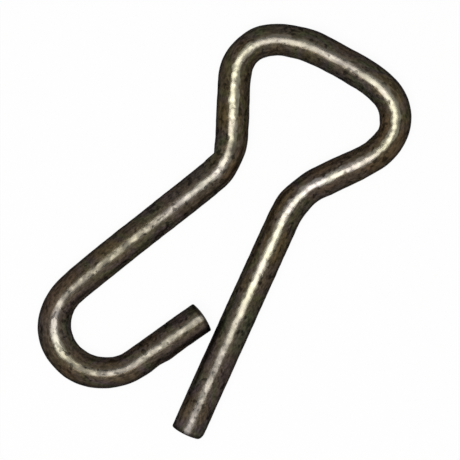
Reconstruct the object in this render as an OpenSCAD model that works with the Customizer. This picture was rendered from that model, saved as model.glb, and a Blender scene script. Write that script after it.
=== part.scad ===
// Retaining clip for a hitch pin: one length of round spring wire, bent flat into the shape of an R.
// The straight leg goes through the cross hole of the hitch pin. The other end of the wire runs round the
// pull loop, in at the neck and out along the long leg, and ends in a hook whose tail nearly closes on the
// straight leg. The clip lies flat on Z = 0, centred on the origin, with the tip of the straight leg to +X.

/* [Wire] */
// Diameter of the wire
wire_d = 4; // [3:0.1:5]
// Amount by which the wire thins where it is drawn round a bend
bend_thinning = 0.02; // [0.02:0.01:0.1]

/* [Straight leg] */
// Length of the straight leg, from its tip to the shoulder
leg_length = 29.1; // [25:0.1:40]
// Slant of the sheared tip
tip_slant = 2; // [1:0.5:6]
// Radius that the shear blade rolled onto one edge of the tip
tip_rollover = 0.5; // [0.2:0.05:1]

/* [Shoulder] */
// Angle by which the shoulder flares away from the straight leg
shoulder_angle = 39.5; // [30:0.5:46]
// Radius of the shoulder, to the middle of the wire
shoulder_radius = 9.6; // [6:0.1:12]
// Straight run from the shoulder to the first corner of the loop
shoulder_run = 7.3; // [4:0.1:12]

/* [Pull loop] */
// Radius of the two tight corners of the loop
loop_corner_radius = 5.2; // [4:0.1:6.5]
// Radius of the two slow bends at the ends of the loop's top
loop_top_radius = 9; // [7:0.1:12]
// Angle of each slow bend
loop_top_turn = 17.5; // [10:0.5:24]
// Lean of the loop's top away from square to the straight leg
loop_lean = 4; // [0:0.5:8]
// Straight run from the first tight corner to the first slow bend
loop_side_run = 0.6; // [0.5:0.1:3]
// Straight run from the second slow bend to the second tight corner
loop_back_run = 1.9; // [0.5:0.1:3]

/* [Neck] */
// Angle at which the neck side of the loop runs in towards the straight leg
neck_angle = 21.5; // [15:0.5:28]
// Straight run from the loop to the neck
neck_run = 7.3; // [5:0.1:10]
// Radius of the neck, to the middle of the wire
neck_radius = 6.5; // [5:0.1:9]
// Clear gap from the crest of the neck to the line of the straight leg
neck_gap = 5.6; // [4:0.1:7]
// Radius of the former that creased the inside of the neck
former_radius = 1; // [0.8:0.1:1.6]
// Depth of the crease
crease_depth = 0.35; // [0.1:0.05:0.5]

/* [Long leg] */
// Angle by which the long leg spreads away from the straight leg
leg_spread = 27; // [22:0.5:32]
// Length of the long leg, from the neck to the hook
long_leg_length = 22.4; // [16:0.1:28]

/* [Hook] */
// Radius of the first part of the hook
hook_radius = 5.7; // [4.5:0.1:7]
// Straight run between the two parts of the hook
hook_run = 0.6; // [0.5:0.1:3]
// Radius of the last part of the hook
hook_end_radius = 6; // [4.5:0.1:8]
// Angle of the last part of the hook
hook_end_turn = 67; // [50:0.5:85]

/* [Tail] */
// Angle between the tail and the straight leg
tail_angle = 31; // [26:0.5:36]
// Clear gap between the end of the tail and the straight leg
tail_gap = 0.6; // [0.3:0.05:1.5]
// Radius of the slightly rounded end of the tail
tail_end_radius = 6.9; // [5:0.1:12]

/* [Hidden] */
$fn = 96;

wire_r = wire_d / 2;
bend_d = wire_d - bend_thinning;
// Length by which a bend reaches into the run at each of its ends
bend_lap = 0.2;
// Reach of a cut past the outside of the wire
clear = 2 * wire_d;

// Direction of each run, seen from above, from the tip of the straight leg to the tail
top_heading = 270 - loop_lean;
tail_heading = 540 - tail_angle;
headings = [
    180,
    180 - shoulder_angle,
    top_heading - loop_top_turn,
    top_heading,
    top_heading + loop_top_turn,
    360 + neck_angle,
    360 - leg_spread,
    tail_heading - hook_end_turn,
    tail_heading,
];

// Radius of the bend that follows each run, to the middle of the wire
radii = [
    shoulder_radius,
    loop_corner_radius,
    loop_top_radius,
    loop_top_radius,
    loop_corner_radius,
    neck_radius,
    hook_radius,
    hook_end_radius,
];

// Places of the neck's bend and of the tail's run in these lists
neck = 5;
tail = 8;

function run_step(length, heading) = length * [cos(heading), sin(heading)];
function bend_step(radius, from, to) =
    sign(to - from) * radius * [sin(to) - sin(from), cos(from) - cos(to)];
function bend_rise(i) = bend_step(radii[i], headings[i], headings[i + 1]).y;
function total(list, i = 0) = i < len(list) ? list[i] + total(list, i + 1) : 0;

// The top of the loop is as long as it takes to bring the crest of the neck to its gap
crest_y = -neck_gap - wire_d;
crest_heading = 360;
rise_without_top = total([for (i = [0:neck - 1]) bend_rise(i)])
    + bend_step(neck_radius, headings[neck], crest_heading).y
    + run_step(shoulder_run, headings[1]).y
    + run_step(loop_side_run, headings[2]).y
    + run_step(loop_back_run, headings[4]).y
    + run_step(neck_run, headings[neck]).y;
loop_top_run = (crest_y - rise_without_top) / sin(top_heading);

// The tail is as long as it takes to bring its nearer corner to its gap
tail_start_y = crest_y
    + bend_step(neck_radius, crest_heading, headings[neck + 1]).y
    + run_step(long_leg_length, headings[neck + 1]).y
    + run_step(hook_run, headings[tail - 1]).y
    + total([for (i = [neck + 1:tail - 1]) bend_rise(i)]);
tail_corner_y = -wire_r - tail_gap - wire_r * cos(tail_angle);
tail_end_drop = tail_end_radius - sqrt(tail_end_radius ^ 2 - wire_r ^ 2);
tail_length = tail_end_drop + (tail_corner_y - tail_start_y) / sin(tail_heading);

// Length of each run
runs = [
    leg_length,
    shoulder_run,
    loop_side_run,
    loop_top_run,
    loop_back_run,
    neck_run,
    long_leg_length,
    hook_run,
    tail_length,
];

// Both edges of the wire in plan, along each bend and at the two ends, to find the middle of the clip
bend_samples = 48;
function run_start(i) = i == 0
    ? [0, 0]
    : run_start(i - 1)
        + run_step(runs[i - 1], headings[i - 1])
        + bend_step(radii[i - 1], headings[i - 1], headings[i]);
function both_edges(point, heading) =
    [for (side = [-wire_r, wire_r]) point + side * [-sin(heading), cos(heading)]];
tip_reach = (wire_r - tip_rollover) * sin(tip_slant);
tail_end = run_start(tail) + run_step(tail_length, tail_heading);
edges = concat(
    both_edges([tip_reach, 0], headings[0]),
    both_edges(tail_end, tail_heading),
    [for (i = [0:tail - 1])
        let (start = run_start(i) + run_step(runs[i], headings[i]))
        for (k = [0:bend_samples])
            let (heading = headings[i] + (headings[i + 1] - headings[i]) * k / bend_samples)
            each both_edges(start + bend_step(radii[i], headings[i], heading), heading)]
);
edge_x = [for (p = edges) p.x];
edge_y = [for (p = edges) p.y];
middle = [(min(edge_x) + max(edge_x)) / 2, (min(edge_y) + max(edge_y)) / 2];

// Straight wire from the origin along X
module straight_wire(length) {
    rotate([0, 90, 0])
        cylinder(d = wire_d, h = length);
}

// Bent wire from the origin, first along X, then to the left for a positive angle and to the right for a
// negative one. It is a little thinner than the straight wire, and reaches into the runs at its ends.
module bent_wire(radius, angle) {
    lap = bend_lap / radius * 180 / PI;
    first = angle > 0 ? -90 : 90 + angle;
    translate([0, sign(angle) * radius, 0])
        rotate_extrude(start = first - lap, angle = abs(angle) + 2 * lap)
            translate([radius, 0])
                circle(d = bend_d);
}

// Straight leg from its tip at the origin along X. The tip is sheared at a slant, and its longer edge is
// rolled over where the blade went in.
module straight_leg() {
    difference() {
        translate([-wire_r, 0, 0])
            straight_wire(wire_r + leg_length);
        rotate(-tip_slant) {
            translate([-clear, -clear, -clear])
                cube([clear, 2 * clear, 2 * clear]);
            translate([tip_rollover, tip_rollover - wire_r, 0])
                difference() {
                    translate([-clear, -clear, -clear])
                        cube([clear, clear, 2 * clear]);
                    cylinder(r = tip_rollover, h = 3 * clear, center = true);
                }
        }
    }
}

// Tail of the hook from the origin along X, with its end cut slightly round
module tail_wire() {
    difference() {
        straight_wire(tail_length);
        translate([tail_length - tail_end_radius, 0, 0])
            difference() {
                translate([0, -clear, -clear])
                    cube([tail_end_radius + clear, 2 * clear, 2 * clear]);
                cylinder(r = tail_end_radius, h = 3 * clear, center = true);
            }
    }
}

// Former that pressed into the inside of the neck, for a neck bend that starts at the origin along X
module neck_former() {
    half_turn = (headings[neck + 1] - headings[neck]) / 2;
    inside = neck_radius - wire_r;
    translate([0, -neck_radius, 0])
        rotate(half_turn)
            translate([0, inside + crease_depth - former_radius, 0])
                cylinder(r = former_radius, h = clear, center = true);
}

// The wire from run i to the tail, with run i starting at the origin along X
module wire_from(i) {
    if (i == 0)
        straight_leg();
    else if (i == tail)
        tail_wire();
    else
        straight_wire(runs[i]);
    if (i < tail)
        translate([runs[i], 0, 0]) {
            angle = headings[i + 1] - headings[i];
            centre = [0, sign(angle) * radii[i], 0];
            difference() {
                bent_wire(radii[i], angle);
                if (i == neck)
                    neck_former();
            }
            translate(centre)
                rotate(angle)
                    translate(-centre)
                        wire_from(i + 1);
        }
}

module clip_wire() {
    color([0.24, 0.21, 0.18])
        translate([-middle.x, -middle.y, wire_r])
            rotate(headings[0])
                wire_from(0);
}

clip_wire();
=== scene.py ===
import math

import bpy
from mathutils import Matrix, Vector


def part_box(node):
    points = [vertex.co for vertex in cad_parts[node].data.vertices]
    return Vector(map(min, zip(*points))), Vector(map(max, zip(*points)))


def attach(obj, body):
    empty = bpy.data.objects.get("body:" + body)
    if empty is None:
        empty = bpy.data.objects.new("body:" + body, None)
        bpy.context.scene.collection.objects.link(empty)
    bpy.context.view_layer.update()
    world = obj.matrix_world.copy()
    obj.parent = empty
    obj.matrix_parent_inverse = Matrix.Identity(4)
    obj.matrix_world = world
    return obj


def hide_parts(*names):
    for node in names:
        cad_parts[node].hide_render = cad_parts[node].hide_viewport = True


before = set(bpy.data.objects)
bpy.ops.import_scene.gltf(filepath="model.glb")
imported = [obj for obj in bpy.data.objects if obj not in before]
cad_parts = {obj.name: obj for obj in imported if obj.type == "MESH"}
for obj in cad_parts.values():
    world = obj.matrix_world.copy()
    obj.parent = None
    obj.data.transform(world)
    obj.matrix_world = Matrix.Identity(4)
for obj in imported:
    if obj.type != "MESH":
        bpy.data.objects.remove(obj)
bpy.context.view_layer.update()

MM = 0.001

# The clip's wire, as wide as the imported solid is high.
wire_low, wire_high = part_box("clip_wire")
WIRE_RADIUS = (wire_high.z - wire_low.z) / 2
WIRE_MIDDLE = (wire_low + wire_high) / 2

# The bender's schedule, from the tip of the straight leg to the tail: each run, and the bend that follows it, to
# the left where its turn is positive.
START_HEADING = 180.0
SCHEDULE = [
    # run mm, turn deg, radius mm
    ("straight_leg", 29.1, -39.5, 9.6),
    ("shoulder_run", 7.3, 108.0, 5.2),
    ("loop_side", 0.6, 17.5, 9.0),
    ("loop_top", 6.042, 17.5, 9.0),
    ("loop_back", 1.9, 98.0, 5.2),
    ("neck_run", 7.3, -48.5, 6.5),
    ("long_leg", 22.4, 109.0, 5.7),
    ("hook_run", 0.6, 67.0, 6.0),
]
TAIL_LENGTH = 10.72 * MM
PATH_STEP = 0.1 * MM

# Ends of the wire: the sheared tip and tail, both slightly rounded, with their rims worn round.
TIP_SLANT = math.radians(0.3)
TIP_ROLLOVER = 0.65 * MM
TIP_END_RADIUS = 13.0 * MM
TAIL_END_RADIUS = 9.0 * MM
TIP_EDGE_BREAK = 0.20 * MM
TAIL_EDGE_BREAK = 0.14 * MM
# Length of wire over which the shape of an end fades out.
END_REACH = 2.0 * MM
# Part of a rim's turn that still belongs to the sheared face.
SHEARED_RIM = 0.3

# The crease that the former pressed into the inside of the neck, after the neck's run.
CREASED_RUN = "neck_run"
CREASE_DEPTH = 0.40 * MM
CREASE_BLEND = 0.05 * MM

# The slightly uneven surface of drawn wire.
RIPPLE_HEIGHT = 0.08 * MM
RIPPLE_SIZE = 1.1 * MM
RIPPLE_DETAIL = 1.0
RIPPLE_ROUGHNESS = 0.5
RIPPLE_SEED = 3.0

# Marks of the bending pins and rollers on the two sides of the wire: place along it, reach to each side of that
# place, and depth, in millimetres. A negative depth is a swelling.
LEFT_MARKS = [
    (7.6, 14.3, -0.09), (20.5, 12.0, -0.06), (31.4, 1.6, -0.09), (33.7, 1.4, 0.04), (42.5, 5.0, 0.13),
    (44.3, 2.4, -0.17), (47.3, 1.4, 0.10), (55.1, 4.7, -0.14), (63.2, 3.0, -0.11), (68.3, 1.8, -0.07),
    (71.9, 2.6, 0.11), (75.1, 1.7, -0.09), (80.8, 5.3, -0.09), (85.8, 2.1, 0.10), (91.8, 10.1, -0.12),
    (116.4, 8.1, -0.17), (125.7, 3.9, -0.10), (130.6, 7.8, 0.11),
]
RIGHT_MARKS = [
    (34.3, 2.4, 0.12), (40.1, 2.2, -0.04), (45.4, 4.5, 0.20), (54.9, 2.5, 0.07), (68.1, 1.9, 0.10),
    (71.5, 2.4, 0.08), (79.1, 6.1, -0.05), (89.9, 6.5, 0.04), (103.8, 6.6, -0.06), (112.7, 4.2, 0.19),
    (118.4, 3.0, -0.06), (121.9, 1.9, -0.10), (126.8, 4.1, 0.21), (132.3, 1.5, 0.12), (133.6, 2.8, -0.07),
]

# How far the dark film is rubbed off the crown of the wire, which also sets how bright the painted highlight along the
# crown is, from 0 to 1, at places along it in millimetres.
RUBBED_AND_HIGHLIGHT = [
    (0.0, 0.12), (6.0, 0.02), (9.0, 0.02), (12.0, 0.05), (14.0, 0.21), (17.0, 0.54), (19.5, 0.78), (26.0, 0.88),
    (32.0, 0.95), (38.0, 1.00), (42.0, 0.95), (44.5, 1.00), (47.0, 1.00), (49.5, 0.80), (52.0, 0.62), (54.5, 0.42),
    (58.0, 0.12), (63.0, 0.30), (67.0, 0.45), (69.5, 0.38), (72.0, 1.00), (74.0, 1.00), (78.5, 1.00), (80.5, 0.97),
    (82.6, 0.75), (84.6, 0.05), (86.0, 0.86), (87.5, 0.85), (89.0, 0.36), (92.5, 0.28), (95.0, 0.06), (97.0, 0.00),
    (113.0, 0.00), (115.5, 0.14), (117.8, 0.60), (119.4, 0.40), (121.5, 0.02), (126.0, 0.00), (131.0, 0.12),
    (140.0, 0.08),
]

# How straw-coloured the wire is, from 0, greyer, to 1, more golden, at places along it in millimetres.
STRAW = [
    (0.0, 0.10), (5.0, 0.35), (10.0, 0.30), (14.0, 0.50), (26.0, 0.50), (34.0, 0.00), (44.0, 0.65), (58.0, 0.35),
    (68.0, 0.55), (82.0, 0.70), (91.0, 0.15), (103.0, 0.85), (110.0, 0.60), (117.0, 0.10), (122.0, 0.90),
    (127.0, 0.38), (140.0, 0.50),
]

# Fineness of the wire's mesh.
RINGS = 1000
SIDES = 88
FACE_RINGS = 8
RIM_RINGS = 5
WELD_DISTANCE = 0.001 * MM
SHARP_EDGE = math.radians(50)

# What the wire is formed with.
WIRE_SETTINGS = [
    ("Wire Radius", "NodeSocketFloat", WIRE_RADIUS),
    ("Rings", "NodeSocketInt", RINGS),
    ("Sides", "NodeSocketInt", SIDES),
    ("Face Rings", "NodeSocketInt", FACE_RINGS),
    ("Rim Rings", "NodeSocketInt", RIM_RINGS),
    ("Tip Edge Break", "NodeSocketFloat", TIP_EDGE_BREAK),
    ("Tail Edge Break", "NodeSocketFloat", TAIL_EDGE_BREAK),
    ("Tip Slant", "NodeSocketFloat", TIP_SLANT),
    ("Tip Rollover", "NodeSocketFloat", TIP_ROLLOVER),
    ("Tip End Radius", "NodeSocketFloat", TIP_END_RADIUS),
    ("Tail End Radius", "NodeSocketFloat", TAIL_END_RADIUS),
    ("Ripple Height", "NodeSocketFloat", RIPPLE_HEIGHT),
    ("Ripple Size", "NodeSocketFloat", RIPPLE_SIZE),
    ("Seed", "NodeSocketFloat", RIPPLE_SEED),
]

# The finish's uneven fields: fineness, detail, roughness, share of the fineness along, across and up the wire, and
# seed.
FIELDS = {
    "blotches": (0.20, 0.8, 0.5, (0.8, 1, 1), 1.0),
    "grain": (3.2, 3.0, 0.7, (0.5, 1, 1), 2.0),
    "warmth": (0.22, 2.0, 0.5, (1, 1, 1), 3.0),
    "fraying": (1.8, 1.5, 0.5, (0.6, 1, 1), 4.0),
    "pits": (1.7, 1.0, 0.5, (0.75, 1, 1), 5.0),
    "tears": (2.4, 3.0, 0.6, (1, 1, 0.15), 6.0),
    "dullness": (1.8, 3.0, 0.6, (0.6, 1, 1), 7.0),
    "draw_marks": (5.0, 2.0, 0.5, (0.06, 1, 1), 8.0),
    "skin": (3.0, 2.0, 0.6, (0.8, 1, 1), 9.0),
    "patches": (0.9, 2.0, 0.6, (0.8, 1, 1), 10.0),
}

# Colours of the finish, each a list of stops, or one plain colour.
BLOTCH_COLOURS = [
    (0.36, (0.065, 0.046, 0.028)), (0.43, (0.055, 0.042, 0.033)), (0.49, (0.056, 0.044, 0.028)),
    (0.54, (0.050, 0.049, 0.026)), (0.59, (0.054, 0.041, 0.036)), (0.66, (0.064, 0.048, 0.026)),
]
RUBBED_TINTS = [
    (0.08, (1.04, 1.0, 1.08)), (0.22, (0.95, 1.0, 1.0)), (0.60, (0.96, 1.0, 0.98)), (0.85, (1.05, 1.0, 0.89)),
]
# Painted shade: the darker grey that the film turns to down the sides.
PAINTED_SIDE_GREY = (0.044, 0.040, 0.036, 1)
# Painted light: the lighter, even brown that the film turns to towards the crown.
UPPER_COLOUR = (0.070, 0.057, 0.038, 1)
# Patches on the very crown, partly the film's own and partly a painted highlight.
PATCH_COLOURS = [(0.40, (0.030, 0.027, 0.023)), (0.50, (0.054, 0.048, 0.038)), (0.60, (0.092, 0.083, 0.067))]
GRAIN_SHADES = [(0.38, (0.55, 0.55, 0.55)), (0.50, (1, 1, 1)), (0.62, (1.55, 1.55, 1.55))]
# Barer steel along the crown, partly rubbed and partly a painted highlight.
STEEL_AND_HIGHLIGHT_COLOURS = [(0.42, (0.195, 0.175, 0.148)), (0.50, (0.198, 0.182, 0.144)), (0.58, (0.200, 0.189, 0.139))]
STRAW_TINTS = [(0.0, (1, 1, 1.15)), (0.5, (1, 1, 1)), (1.0, (1, 1, 0.87))]
TORN_COLOURS = [(0.35, (0.060, 0.052, 0.042)), (0.65, (0.130, 0.120, 0.104))]
EDGE_TINT = (0.25, 0.25, 0.25, 1)

# Where the finish changes, as start, end and, where they aren't 0 and 1, the amounts there. The first ones go by the
# height on the wire, where 1 is its crown, the next by how far it is rubbed, and the last by millimetres from an end.
# The next three paint shade on the film down the sides and light on it towards the crown.
PAINTED_SHADE_AND_LIGHT = (0.70, 0.95, 0.82, 1.15)
PAINTED_SIDE_GREY_SHARE = (0.80, 0.50, 0.0, 0.35)
UPPER_SHARE = (0.86, 0.95, 0.0, 0.6)
# Patches on the very crown, which also paint its highlight.
PATCH_SHARE = (0.966, 0.990)
GRAIN_SHARE = (0.92, 0.98, 1.0, 0.5)
# The barer band along the crown, which also paints its highlight.
BARE_AND_HIGHLIGHT_BAND = (0.945, 0.985)
SIDE_DULLNESS = (0.92, 0.75, 0.0, 0.10)
RUBBED_DULLNESS = (0.0, 1.0, 0.245, 0.21)
# Painted shade along the rims of the two ends.
PAINTED_RIM_SHADE = (0.25, 0.60, 0.32, 1.0)
# Lean of the rubbed band and its painted highlight towards one side of the wire.
RUB_AND_HIGHLIGHT_LEAN = math.radians(3.0)
FRAY_AMOUNT = 0.14
# Least and span of the barer band, which also paints the highlight, as the rubbing goes from 0 to 1.
BARE_AND_HIGHLIGHT_LEAST, BARE_AND_HIGHLIGHT_SPAN = 0.04, 0.92
PIT_LIMITS = (0.59, 0.67)
PIT_DARKNESS = 0.6
PITS_RUBBED_AWAY = 0.6
DULL_SPREAD = 0.22
SHEARED_DULLNESS = 0.15
METAL_SHARE = 0.92

# Heights of the finest relief, as shares of its depth.
DRAW_MARK_HEIGHT = 0.25
SKIN_HEIGHT = 0.35
SKIN_RUBBED_AWAY = 0.25
PIT_DEPTH = 0.4
TEAR_HEIGHT = 2.0
RELIEF_STRENGTH = 0.6
RELIEF_DEPTH = 0.03 * MM

# The white sheet under the clip, in metres.
SHEET_HALF = 1.5
SHEET_COLOUR = (0.97, 0.97, 0.97, 1)
SHEET_GLOW = 0.935

# The white studio, a little darker to one side, above the horizon.
WHITE = (1, 1, 1, 1)
STUDIO_FILL = 0.2
STUDIO_SEEN = 0.8
DARK_SIDE = Vector((-0.891, -0.454, 0))
DARK_SPREAD = (0.2, 0.92)
DARK_ABOVE = (0.02, 0.10)
DARKENING = 0.24

# The round softbox, brightest in the middle: two discs, one behind the other.
SOFTBOX_LEAN = math.radians(9.3)
SOFTBOX_LEANS_TO = Vector((0.985, -0.176, 0))
SOFTBOX_DISCS = [
    # distance m, half angle deg, radiance
    (0.300, 13, 2.6),
    (0.303, 20, 5.0),
]

# The camera, straight above.
LENS = 200.0
FRAME_WIDTH = 57.06 * MM
LOOK_AT = Vector((0.824 * MM, 1.03 * MM, WIRE_MIDDLE.z))
CAMERA_TURN = math.radians(114.3)
NEAREST_SEEN = 0.01


def add_node(tree, kind, inputs=None, **settings):
    """Adds a node, makes its settings, and fills its inputs with sockets or plain values."""
    node = tree.nodes.new(kind)
    for name, value in settings.items():
        setattr(node, name, value)
    for key, value in (inputs or {}).items():
        fill_input(tree, node.inputs[key], value)
    return node


def fill_input(tree, target, value):
    if isinstance(value, bpy.types.NodeSocket):
        tree.links.new(value, target)
    else:
        target.default_value = value


def calc(tree, operation, *terms):
    return add_node(tree, "ShaderNodeMath", dict(enumerate(terms)), operation=operation).outputs[0]


def calc_vector(tree, operation, first, second=None, scale=None):
    inputs = {0: first}
    if second is not None:
        inputs[1] = second
    if scale is not None:
        inputs["Scale"] = scale
    return add_node(tree, "ShaderNodeVectorMath", inputs, operation=operation).outputs["Vector"]


def ease(tree, value, start, end, low=0.0, high=1.0):
    """A smooth step from low to high as the value goes from start to end."""
    inputs = {"Value": value, "From Min": start, "From Max": end, "To Min": low, "To Max": high}
    return add_node(tree, "ShaderNodeMapRange", inputs, interpolation_type="SMOOTHSTEP").outputs["Result"]


def bend_path():
    """Points along the middle of the wire, and the depth of the neck's crease at each."""
    points, creases = [], []
    place, heading = Vector((0, 0, 0)), math.radians(START_HEADING)

    def lay_run(length):
        nonlocal place
        steps = max(2, round(length / PATH_STEP))
        direction = Vector((math.cos(heading), math.sin(heading), 0))
        points.extend(place + direction * length * k / steps for k in range(steps))
        creases.extend([0.0] * steps)
        place = place + direction * length

    for name, run, turn, radius in SCHEDULE:
        radius, turn = radius * MM, math.radians(turn)
        lay_run(run * MM)
        side = math.copysign(1, turn)
        centre = place + side * radius * Vector((-math.sin(heading), math.cos(heading), 0))
        steps = max(4, round(abs(turn) * radius / PATH_STEP))
        inside = radius - WIRE_RADIUS
        deepest = inside / math.cos(turn / 2) - inside
        for k in range(steps):
            angle = heading + turn * k / steps
            points.append(centre + side * radius * Vector((math.sin(angle), -math.cos(angle), 0)))
            corner = inside / math.cos(turn * (0.5 - abs(k / steps - 0.5))) - inside
            creases.append(CREASE_DEPTH * corner / deepest if name == CREASED_RUN else 0.0)
        heading += turn
        place = centre + side * radius * Vector((math.sin(heading), -math.cos(heading), 0))
    lay_run(TAIL_LENGTH)
    points.append(place)
    creases.append(0.0)
    return points, creases


def depth_at(along, marks):
    """Depth of all the marks together at a place along the wire."""
    total = 0.0
    for place, reach, depth in marks:
        share = min(1.0, abs(along / MM - place) / reach)
        total += depth * MM * math.cos(share * math.pi / 2) ** 2
    return total


def amount_at(along, table):
    """Amount that a table gives at a place along the wire, smooth between its rows."""
    for (start, low), (end, high) in zip(table, table[1:]):
        if along / MM <= end:
            share = (along / MM - start) / (end - start)
            return low + (high - low) * share * share * (3 - 2 * share)
    return table[-1][1]


def centre_path(points):
    """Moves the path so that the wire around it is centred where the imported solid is."""
    edges = []
    for before, here, after in zip(points, points[1:], points[2:]):
        across = (after - before).normalized().cross(Vector((0, 0, 1))) * WIRE_RADIUS
        edges += [here + across, here - across]
    edges.append(points[0] + Vector((math.sin(TIP_SLANT) * (WIRE_RADIUS - TIP_ROLLOVER), 0, 0)))
    middle = Vector((
        (min(e.x for e in edges) + max(e.x for e in edges)) / 2,
        (min(e.y for e in edges) + max(e.y for e in edges)) / 2,
        0,
    ))
    return [p - middle + WIRE_MIDDLE for p in points]


def path_mesh():
    """The path as a line of edges, which carries the marks on the wire's sides, its wear, which also sets the painted
    highlight, and its tint.
    """
    points, creases = bend_path()
    points = centre_path(points)
    mesh = bpy.data.meshes.new("wire_path")
    mesh.from_pydata(points, [(i, i + 1) for i in range(len(points) - 1)], [])
    for name, kind in (("marks", "FLOAT_VECTOR"), ("rubbed_and_highlight", "FLOAT"), ("straw", "FLOAT")):
        mesh.attributes.new(name, kind, "POINT")
    marks, rubbed_and_highlight, straw = (mesh.attributes[name] for name in ("marks", "rubbed_and_highlight", "straw"))
    along = 0.0
    for i, crease in enumerate(creases):
        if i:
            along += (points[i] - points[i - 1]).length
        marks.data[i].vector = (depth_at(along, LEFT_MARKS), depth_at(along, RIGHT_MARKS), crease)
        rubbed_and_highlight.data[i].value = amount_at(along, RUBBED_AND_HIGHLIGHT)
        straw.data[i].value = amount_at(along, STRAW)
    return mesh


def wire_tree():
    """Rings of points round the path, closed at both ends, with the tools' presses and a slightly uneven surface."""
    tree = bpy.data.node_groups.new("formed_wire", "GeometryNodeTree")
    tree.is_modifier = True
    sockets = tree.interface
    sockets.new_socket("Path", in_out="INPUT", socket_type="NodeSocketGeometry")
    for name, kind, _ in WIRE_SETTINGS:
        sockets.new_socket(name, in_out="INPUT", socket_type=kind)
    sockets.new_socket("Finish", in_out="INPUT", socket_type="NodeSocketMaterial")
    sockets.new_socket("Wire", in_out="OUTPUT", socket_type="NodeSocketGeometry")
    given = add_node(tree, "NodeGroupInput").outputs
    radius = given["Wire Radius"]

    # A flat sheet of points, one row for each ring.
    curve = add_node(tree, "GeometryNodeMeshToCurve", {"Mesh": given["Path"]}).outputs["Curve"]
    length = add_node(tree, "GeometryNodeCurveLength", {"Curve": curve}).outputs["Length"]
    around_points = calc(tree, "ADD", given["Sides"], 1)
    sheet = add_node(tree, "GeometryNodeMeshGrid", {
        "Size X": 1.0, "Size Y": 1.0, "Vertices X": given["Rings"], "Vertices Y": around_points,
    }).outputs["Mesh"]
    on_sheet = add_node(tree, "GeometryNodeInputPosition").outputs[0]
    place = add_node(tree, "ShaderNodeSeparateXYZ", {0: on_sheet}).outputs
    last = calc(tree, "SUBTRACT", given["Rings"], 1)
    ring = calc(tree, "ROUND", calc(tree, "MULTIPLY", calc(tree, "ADD", place["X"], 0.5), last))
    turn = calc(tree, "MULTIPLY", calc(tree, "ADD", place["Y"], 0.5), -2 * math.pi)

    # How full each ring is, and how far along the wire it lies. The first and last rings fill the two end faces, and
    # the next ones turn round their rims.
    ring_from_tail = calc(tree, "SUBTRACT", last, ring)

    def clamped(value):
        return add_node(tree, "ShaderNodeClamp", {"Value": value}).outputs[0]

    def end_of_wire(rings_from_end, edge_break):
        rim_share = calc(tree, "DIVIDE", edge_break, radius)
        face = clamped(calc(tree, "DIVIDE", rings_from_end, given["Face Rings"]))
        face = calc(tree, "MULTIPLY", face, calc(tree, "SUBTRACT", 1.0, rim_share))
        rim = calc(tree, "SUBTRACT", rings_from_end, given["Face Rings"])
        rim = clamped(calc(tree, "DIVIDE", rim, given["Rim Rings"]))
        rim_turn = calc(tree, "MULTIPLY", rim, math.pi / 2)
        fill = calc(tree, "MULTIPLY_ADD", rim_share, calc(tree, "SINE", rim_turn), face)
        short_of_rim = calc(tree, "MULTIPLY", edge_break, calc(tree, "COSINE", rim_turn))
        return fill, short_of_rim, calc(tree, "LESS_THAN", rim, SHEARED_RIM)

    tip_fill, tip_short, on_tip = end_of_wire(ring, given["Tip Edge Break"])
    tail_fill, tail_past, on_tail = end_of_wire(ring_from_tail, given["Tail Edge Break"])
    fill = calc(tree, "MULTIPLY", tip_fill, tail_fill)
    sheared = calc(tree, "MAXIMUM", on_tip, on_tail)
    end_rings = calc(tree, "ADD", given["Face Rings"], given["Rim Rings"])
    body_rings = calc(tree, "SUBTRACT", last, calc(tree, "MULTIPLY", end_rings, 2))
    share = clamped(calc(tree, "DIVIDE", calc(tree, "SUBTRACT", ring, end_rings), body_rings))
    both_breaks = calc(tree, "ADD", given["Tip Edge Break"], given["Tail Edge Break"])
    body_length = calc(tree, "SUBTRACT", length, both_breaks)
    along = calc(tree, "MULTIPLY_ADD", share, body_length, given["Tip Edge Break"])
    along = calc(tree, "ADD", calc(tree, "SUBTRACT", along, tip_short), tail_past)
    from_end = calc(tree, "MINIMUM", along, calc(tree, "SUBTRACT", length, along))

    def along_path(name, kind):
        value = add_node(tree, "GeometryNodeInputNamedAttribute", {"Name": name}, data_type=kind)
        inputs = {"Curves": curve, "Value": value.outputs["Attribute"], "Length": along}
        settings = {"data_type": kind, "mode": "LENGTH", "use_all_curves": True}
        return add_node(tree, "GeometryNodeSampleCurve", inputs, **settings).outputs

    sample = along_path("marks", "FLOAT_VECTOR")
    marks = add_node(tree, "ShaderNodeSeparateXYZ", {0: sample["Value"]}).outputs
    rubbed_and_highlight = along_path("rubbed_and_highlight", "FLOAT")["Value"]
    straw = along_path("straw", "FLOAT")["Value"]
    left_side = calc_vector(tree, "NORMALIZE", calc_vector(tree, "CROSS_PRODUCT", (0, 0, 1), sample["Tangent"]))

    # Across and up from the middle of the wire, with each side as the tools left it.
    ring_radius = calc(tree, "MULTIPLY", radius, fill)
    across = calc(tree, "MULTIPLY", ring_radius, calc(tree, "COSINE", turn))
    up = calc(tree, "MULTIPLY", ring_radius, calc(tree, "SINE", turn))
    thinned = calc(tree, "DIVIDE", calc(tree, "ADD", marks["X"], marks["Y"]), calc(tree, "MULTIPLY", radius, 2))
    moved = calc(tree, "DIVIDE", calc(tree, "SUBTRACT", marks["Y"], marks["X"]), 2)
    marked = calc(tree, "MULTIPLY_ADD", across, calc(tree, "SUBTRACT", 1.0, thinned), moved)
    right_limit = calc(tree, "SUBTRACT", calc(tree, "ADD", marks["Y"], marks["Z"]), radius)
    right_limit = calc(tree, "SUBTRACT", right_limit, CREASE_BLEND)
    marked = calc(tree, "SMOOTH_MAX", marked, right_limit, CREASE_BLEND)

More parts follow.
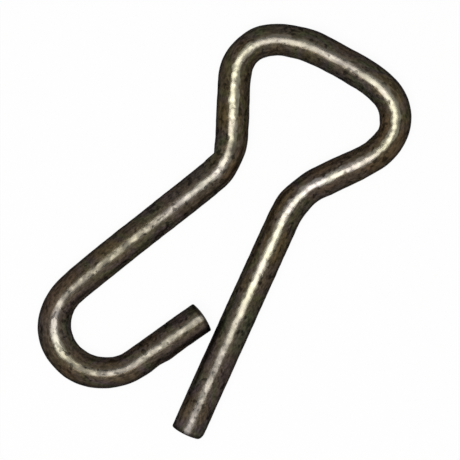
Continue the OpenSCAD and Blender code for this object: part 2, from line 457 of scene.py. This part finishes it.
    # The tip is slanted and rolled over on its right side, and both ends are slightly round.
    right = calc(tree, "MULTIPLY", across, -1.0)
    flat_part = calc(tree, "SUBTRACT", radius, given["Tip Rollover"])
    over = calc(tree, "MAXIMUM", calc(tree, "SUBTRACT", right, flat_part), 0.0)
    over = calc(tree, "MINIMUM", over, given["Tip Rollover"])

    def round_drop(size, offset):
        inner = calc(tree, "SUBTRACT", calc(tree, "MULTIPLY", size, size), calc(tree, "MULTIPLY", offset, offset))
        return calc(tree, "SUBTRACT", size, calc(tree, "SQRT", inner))

    slant = calc(tree, "MULTIPLY", right, calc(tree, "TANGENT", given["Tip Slant"]))
    tip_round = round_drop(given["Tip End Radius"], across)
    tip_cut = calc(tree, "SUBTRACT", calc(tree, "ADD", round_drop(given["Tip Rollover"], over), tip_round), slant)
    tip_shift = calc(tree, "MULTIPLY", tip_cut, ease(tree, along, 0.0, END_REACH, 1.0, 0.0))
    tail_round = round_drop(given["Tail End Radius"], across)
    tail_start = calc(tree, "SUBTRACT", length, END_REACH)
    tail_shift = calc(tree, "MULTIPLY", tail_round, ease(tree, along, tail_start, length))
    shift = calc(tree, "SUBTRACT", tip_shift, tail_shift)

    # The wire before it was bent, in millimetres, which the finish follows.
    straight = add_node(tree, "ShaderNodeCombineXYZ", {
        "X": calc(tree, "DIVIDE", calc(tree, "ADD", along, shift), MM),
        "Y": calc(tree, "DIVIDE", across, MM),
        "Z": calc(tree, "DIVIDE", up, MM),
    }).outputs["Vector"]

    # The drawn surface is slightly uneven.
    ripple_scale = calc(tree, "DIVIDE", MM, given["Ripple Size"])
    ripple = add_node(tree, "ShaderNodeTexNoise", {
        "Vector": straight, "W": given["Seed"], "Scale": ripple_scale, "Detail": RIPPLE_DETAIL,
        "Roughness": RIPPLE_ROUGHNESS,
    }, noise_dimensions="4D").outputs["Fac"]
    ripple = calc(tree, "MULTIPLY", calc(tree, "SUBTRACT", ripple, 0.5), given["Ripple Height"])
    swell = calc(tree, "ADD", 1.0, calc(tree, "DIVIDE", ripple, radius))

    offset = calc_vector(tree, "SCALE", left_side, scale=calc(tree, "MULTIPLY", marked, swell))
    lift = add_node(tree, "ShaderNodeCombineXYZ", {"Z": calc(tree, "MULTIPLY", up, swell)}).outputs["Vector"]
    stretch = calc_vector(tree, "SCALE", sample["Tangent"], scale=shift)
    spot = calc_vector(tree, "ADD", sample["Position"], offset)
    spot = calc_vector(tree, "ADD", spot, calc_vector(tree, "ADD", lift, stretch))

    wire = sheet
    for name, kind, value in (
        ("straight_wire", "FLOAT_VECTOR", straight),
        ("rubbed_and_highlight", "FLOAT", rubbed_and_highlight),
        ("straw", "FLOAT", straw),
        ("sheared", "FLOAT", sheared),
        ("from_end", "FLOAT", calc(tree, "DIVIDE", from_end, MM)),
    ):
        inputs = {"Geometry": wire, "Name": name, "Value": value}
        keep = add_node(tree, "GeometryNodeStoreNamedAttribute", inputs, data_type=kind, domain="POINT")
        wire = keep.outputs["Geometry"]
    bend_angle = add_node(tree, "GeometryNodeInputMeshEdgeAngle").outputs["Unsigned Angle"]
    soft_edge = calc(tree, "LESS_THAN", bend_angle, SHARP_EDGE)
    for kind, inputs, settings in (
        ("GeometryNodeSetPosition", {"Position": spot}, {}),
        ("GeometryNodeMergeByDistance", {"Distance": WELD_DISTANCE}, {}),
        ("GeometryNodeSetShadeSmooth", {"Shade Smooth": soft_edge}, {"domain": "EDGE"}),
        ("GeometryNodeRealizeInstances", {}, {}),
        ("GeometryNodeSetMaterial", {"Material": given["Finish"]}, {}),
    ):
        wire = add_node(tree, kind, {"Geometry": wire, **inputs}, **settings).outputs["Geometry"]
    add_node(tree, "NodeGroupOutput", {"Wire": wire})
    return tree


def form_wire(finish):
    """Bends the wire and turns it into a plain mesh."""
    path = bpy.data.objects.new("wire_path", path_mesh())
    bpy.context.collection.objects.link(path)
    former = path.modifiers.new("formed_wire", "NODES")
    former.node_group = wire_tree()
    settings = {name: value for name, _, value in WIRE_SETTINGS}
    settings["Finish"] = finish
    for socket in former.node_group.interface.items_tree:
        if socket.in_out == "INPUT" and socket.name in settings:
            former[socket.identifier] = settings[socket.name]
    graph = bpy.context.evaluated_depsgraph_get()
    mesh = bpy.data.meshes.new_from_object(path.evaluated_get(graph))
    mesh.name = "bent_wire"
    bpy.data.objects.remove(path)
    wire = bpy.data.objects.new("bent_wire", mesh)
    bpy.context.collection.objects.link(wire)
    return wire


def new_material(name):
    material = bpy.data.materials.new(name)
    material.use_nodes = True
    material.node_tree.nodes.clear()
    return material, material.node_tree


def oiled_steel():
    """Drawn spring steel under a dark mottled film, rubbed off the crown of the wire in places, where the barer band
    also paints the highlight, with painted shade down the sides and along the rims of the ends, and pitted.
    """
    material, tree = new_material("oiled_spring_steel")

    def carried(name):
        return add_node(tree, "ShaderNodeAttribute", attribute_name=name).outputs

    straight = carried("straight_wire")["Vector"]
    rubbed_and_highlight, straw, sheared, from_end = (carried(name)["Fac"] for name in ("rubbed_and_highlight", "straw", "sheared", "from_end"))
    across, up = add_node(tree, "ShaderNodeSeparateXYZ", {0: straight}).outputs[1:]
    up = calc(tree, "MULTIPLY_ADD", across, math.tan(RUB_AND_HIGHLIGHT_LEAN), up)
    crown = calc(tree, "DIVIDE", calc(tree, "ABSOLUTE", up), WIRE_RADIUS / MM)

    def field(name):
        fineness, detail, roughness, shares, seed = FIELDS[name]
        mapped = add_node(tree, "ShaderNodeMapping", {"Vector": straight, "Scale": shares}).outputs["Vector"]
        inputs = {"Vector": mapped, "W": seed, "Scale": fineness, "Detail": detail, "Roughness": roughness}
        return add_node(tree, "ShaderNodeTexNoise", inputs, noise_dimensions="4D").outputs["Fac"]

    def ramp(value, stops):
        node = add_node(tree, "ShaderNodeValToRGB", {"Fac": value})
        elements = node.color_ramp.elements
        while len(elements) < len(stops):
            elements.new(0.5)
        for element, (position, colour) in zip(elements, stops):
            element.position = position
            element.color = (*colour, 1)
        return node.outputs["Color"]

    def mix(kind, share, first, second):
        node = add_node(tree, "ShaderNodeMix", data_type="RGBA", blend_type=kind)
        for socket, value in (("Factor_Float", share), ("A_Color", first), ("B_Color", second)):
            fill_input(tree, next(s for s in node.inputs if s.identifier == socket), value)
        return next(s for s in node.outputs if s.identifier == "Result_Color")

    def dim(colour, scale):
        return calc_vector(tree, "SCALE", colour, scale=scale)

    # The film: brown, olive and violet blotches, more golden where it is rubbed thin, with painted shade that darkens
    # and greys it down the sides, and painted light that lifts it towards the crown.
    film = mix("MULTIPLY", 1.0, ramp(field("blotches"), BLOTCH_COLOURS), ramp(rubbed_and_highlight, RUBBED_TINTS))
    film = dim(film, ease(tree, crown, *PAINTED_SHADE_AND_LIGHT))
    film = mix("MIX", ease(tree, crown, *PAINTED_SIDE_GREY_SHARE), film, PAINTED_SIDE_GREY)
    film = mix("MIX", ease(tree, crown, *UPPER_SHARE), film, UPPER_COLOUR)
    # Patches on the very crown, which also paint its highlight.
    film = mix("MIX", ease(tree, crown, *PATCH_SHARE), film, ramp(field("patches"), PATCH_COLOURS))
    film = mix("MULTIPLY", ease(tree, crown, *GRAIN_SHARE), film, ramp(field("grain"), GRAIN_SHADES))

    # Barer steel along the crown, which also paints the highlight there, cream where it is warm and grey where it is
    # cool, with broken edges.
    steel = ramp(field("warmth"), STEEL_AND_HIGHLIGHT_COLOURS)
    fray = calc(tree, "MULTIPLY_ADD", calc(tree, "SUBTRACT", field("fraying"), 0.5), FRAY_AMOUNT, crown)
    bare_and_highlight = calc(tree, "MULTIPLY_ADD", rubbed_and_highlight, BARE_AND_HIGHLIGHT_SPAN, BARE_AND_HIGHLIGHT_LEAST)
    bare_and_highlight = calc(tree, "MULTIPLY", ease(tree, fray, *BARE_AND_HIGHLIGHT_BAND), bare_and_highlight)
    colour = mix("MIX", bare_and_highlight, film, steel)
    colour = mix("MULTIPLY", 1.0, colour, ramp(straw, STRAW_TINTS))

    # Small dark pits.
    pits = ease(tree, field("pits"), *PIT_LIMITS)
    pits = calc(tree, "MULTIPLY", pits, calc(tree, "MULTIPLY_ADD", bare_and_highlight, -PITS_RUBBED_AWAY, 1.0))
    colour = dim(colour, calc(tree, "MULTIPLY_ADD", pits, -PIT_DARKNESS, 1.0))

    # Painted shade darkens the colour along the rims of the two ends. The sheared ends are barer and torn along the
    # blade's stroke.
    colour = dim(colour, ease(tree, from_end, *PAINTED_RIM_SHADE))
    tears = field("tears")
    colour = mix("MIX", sheared, colour, ramp(tears, TORN_COLOURS))

    # Duller down the sides and on the sheared ends, and unevenly so all over.
    dull = calc(tree, "SUBTRACT", field("dullness"), 0.5)
    roughness = calc(tree, "MULTIPLY_ADD", dull, DULL_SPREAD, ease(tree, rubbed_and_highlight, *RUBBED_DULLNESS))
    roughness = calc(tree, "ADD", roughness, ease(tree, crown, *SIDE_DULLNESS))
    roughness = calc(tree, "MULTIPLY_ADD", sheared, SHEARED_DULLNESS, roughness)

    # The finest relief: draw marks along the wire, the film's skin, pits, and tears on the sheared ends.
    skin = calc(tree, "MULTIPLY_ADD", bare_and_highlight, -SKIN_RUBBED_AWAY, SKIN_HEIGHT)
    skin = calc(tree, "MULTIPLY", field("skin"), skin)
    height = calc(tree, "MULTIPLY_ADD", field("draw_marks"), DRAW_MARK_HEIGHT, skin)
    height = calc(tree, "MULTIPLY_ADD", pits, -PIT_DEPTH, height)
    height = calc(tree, "MULTIPLY_ADD", calc(tree, "MULTIPLY", tears, sheared), TEAR_HEIGHT, height)
    relief = add_node(tree, "ShaderNodeBump", {
        "Strength": RELIEF_STRENGTH, "Distance": RELIEF_DEPTH, "Height": height,
    }).outputs["Normal"]

    shader = add_node(tree, "ShaderNodeBsdfPrincipled", {
        "Base Color": colour, "Metallic": METAL_SHARE, "Roughness": roughness, "Normal": relief,
        "Specular Tint": EDGE_TINT,
    })
    add_node(tree, "ShaderNodeOutputMaterial", {"Surface": shader.outputs["BSDF"]})
    return material


def seen_directly(tree):
    """1 for what the camera sees, straight or mirrored in metal or through glass."""
    rays = add_node(tree, "ShaderNodeLightPath").outputs
    mirrored = calc(tree, "MAXIMUM", rays["Is Glossy Ray"], rays["Is Transmission Ray"])
    return calc(tree, "MAXIMUM", rays["Is Camera Ray"], mirrored)


def lay_floor():
    """A white sheet under the clip, which keeps a faint shadow."""
    mesh = bpy.data.meshes.new("floor")
    corners = [(-1, -1), (1, -1), (1, 1), (-1, 1)]
    mesh.from_pydata([(x * SHEET_HALF, y * SHEET_HALF, wire_low.z) for x, y in corners], [], [(0, 1, 2, 3)])
    floor = bpy.data.objects.new("floor", mesh)
    bpy.context.collection.objects.link(floor)
    material, tree = new_material("white_sheet")
    paper = add_node(tree, "ShaderNodeBsdfDiffuse", {"Color": SHEET_COLOUR}).outputs[0]
    glow = add_node(tree, "ShaderNodeEmission", {"Color": WHITE, "Strength": 1.0}).outputs[0]
    share = calc(tree, "MULTIPLY", seen_directly(tree), SHEET_GLOW)
    sheet = add_node(tree, "ShaderNodeMixShader", {0: share, 1: paper, 2: glow}).outputs[0]
    add_node(tree, "ShaderNodeOutputMaterial", {"Surface": sheet})
    mesh.materials.append(material)


def light_studio():
    """A white studio and a round softbox above the clip."""
    world = bpy.data.worlds.new("studio")
    world.use_nodes = True
    tree = world.node_tree
    tree.nodes.clear()
    direction = add_node(tree, "ShaderNodeTexCoord").outputs["Generated"]
    toward = add_node(tree, "ShaderNodeVectorMath", {0: direction, 1: DARK_SIDE}, operation="DOT_PRODUCT")
    height = add_node(tree, "ShaderNodeSeparateXYZ", {0: direction}).outputs["Z"]
    shade = ease(tree, toward.outputs["Value"], *DARK_SPREAD)
    shade = calc(tree, "MULTIPLY", shade, ease(tree, height, *DARK_ABOVE))
    seen = calc(tree, "MULTIPLY", seen_directly(tree), calc(tree, "MULTIPLY_ADD", shade, -DARKENING, STUDIO_SEEN))
    strength = calc(tree, "ADD", seen, STUDIO_FILL)
    sky = add_node(tree, "ShaderNodeBackground", {"Color": WHITE, "Strength": strength}).outputs[0]
    add_node(tree, "ShaderNodeOutputWorld", {"Surface": sky})
    bpy.context.scene.world = world

    above = Vector((0, 0, math.cos(SOFTBOX_LEAN))) + SOFTBOX_LEANS_TO * math.sin(SOFTBOX_LEAN)
    for distance, half_angle, radiance in SOFTBOX_DISCS:
        lamp = bpy.data.lights.new("softbox", "AREA")
        lamp.shape = "DISK"
        lamp.size = 2 * distance * math.tan(math.radians(half_angle))
        lamp.energy = radiance * math.pi * math.pi * (lamp.size / 2) ** 2
        softbox = bpy.data.objects.new("softbox", lamp)
        softbox.location = WIRE_MIDDLE + distance * above
        softbox.rotation_euler = (WIRE_MIDDLE - softbox.location).to_track_quat("-Z", "Y").to_euler()
        softbox.visible_camera = False
        bpy.context.collection.objects.link(softbox)


def set_camera():
    """Straight down on the clip through a long lens, turned so that the straight leg runs up to the right."""
    data = bpy.data.cameras.new("camera")
    data.lens = LENS
    data.clip_start = NEAREST_SEEN
    camera = bpy.data.objects.new("camera", data)
    camera.location = LOOK_AT + Vector((0, 0, FRAME_WIDTH * LENS / data.sensor_width))
    camera.rotation_euler = (0, 0, CAMERA_TURN)
    bpy.context.collection.objects.link(camera)
    bpy.context.scene.camera = camera


bpy.context.scene.view_settings.view_transform = "Standard"
set_camera()
light_studio()
lay_floor()
bent_wire = form_wire(oiled_steel())
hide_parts("clip_wire")
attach(bent_wire, "root")
